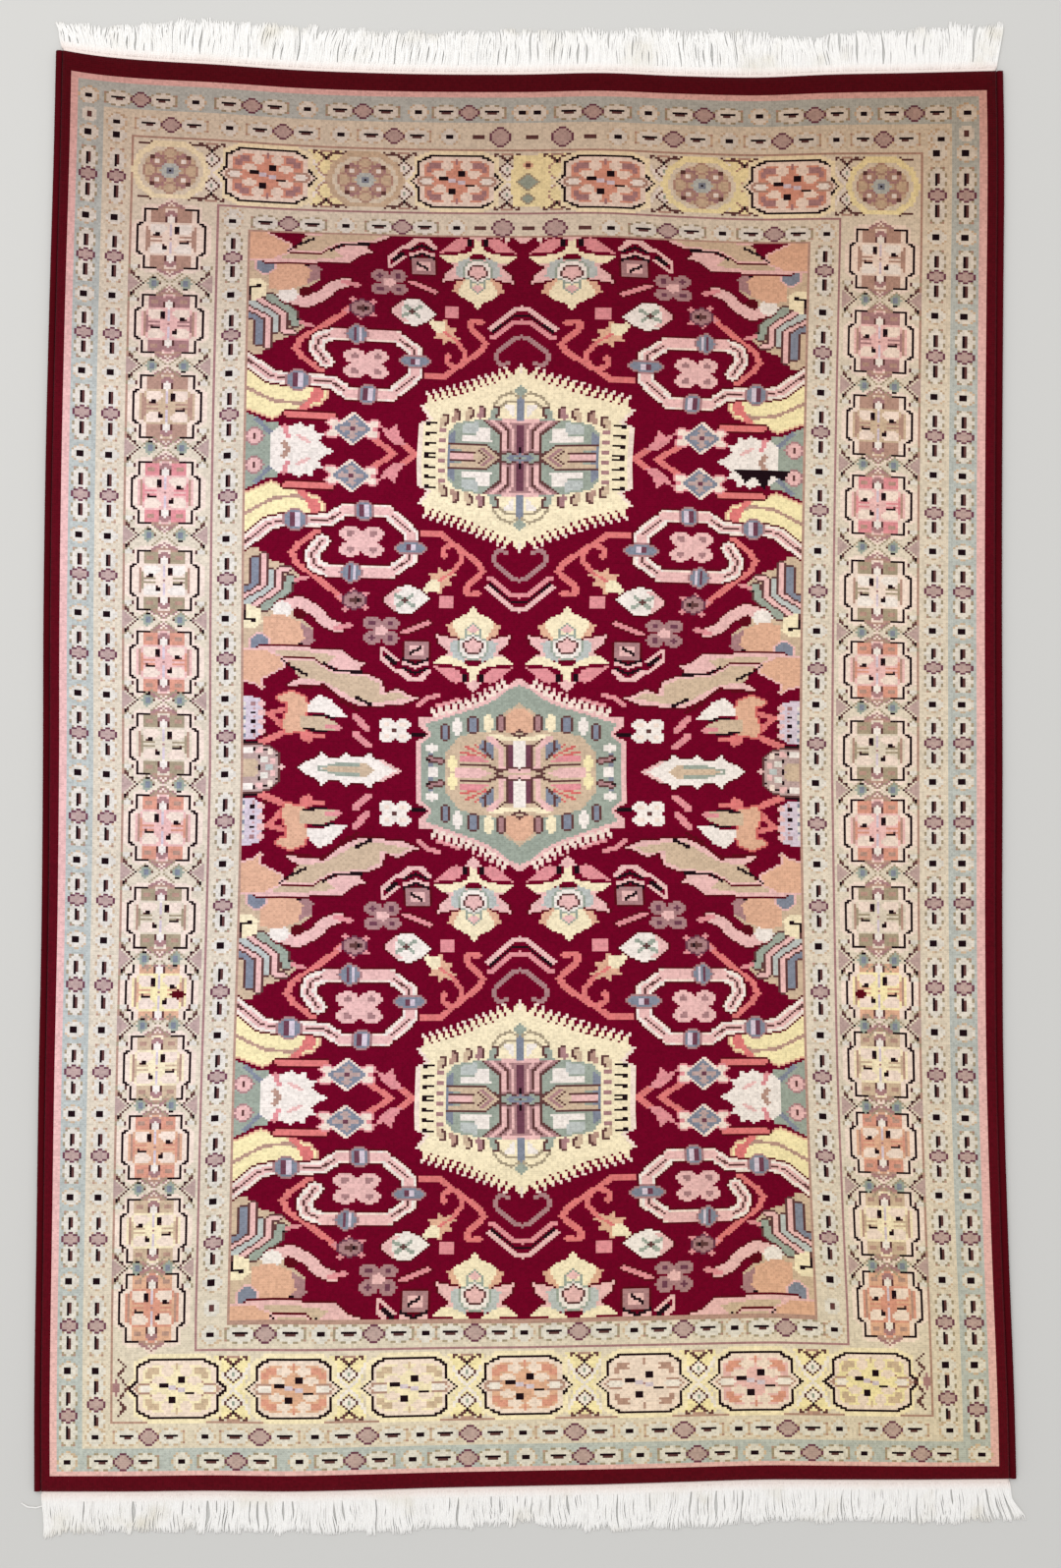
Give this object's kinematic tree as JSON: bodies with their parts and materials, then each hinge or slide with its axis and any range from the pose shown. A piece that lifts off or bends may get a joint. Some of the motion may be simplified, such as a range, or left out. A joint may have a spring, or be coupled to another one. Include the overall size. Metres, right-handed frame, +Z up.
{
  "type": "caucasian rug",
  "caption": "Flat hand-knotted wool rug with a medallion field, patterned borders, overcast side edges and a cotton fringe at each end, to cover a floor.",
  "frame": {"origin": "on the floor under the middle of the rug, its fringes included", "axes": "+X across the rug to the right, +Y along it towards the end with the drawn-out corner, +Z up out of the pile"},
  "size_m": [1.2705, 1.966, 0.009],
  "materials": {
    "knotted_wool": "clipped wool pile, matt with a soft sheen, in crimson, cream, rose, grey and brown",
    "edge_wool": "matt deep red wool, wrapped turn beside turn",
    "warp_cotton": "matt undyed cotton yarn, flat-woven at the root and loosely twisted in the locks"
  },
  "bodies": {
    "root": {"rug_body": "knotted_wool", "overcast_edge_left": "edge_wool", "overcast_edge_right": "edge_wool", "fringe_top": "warp_cotton", "fringe_bottom": "warp_cotton"}
  },
  "joints": []
}
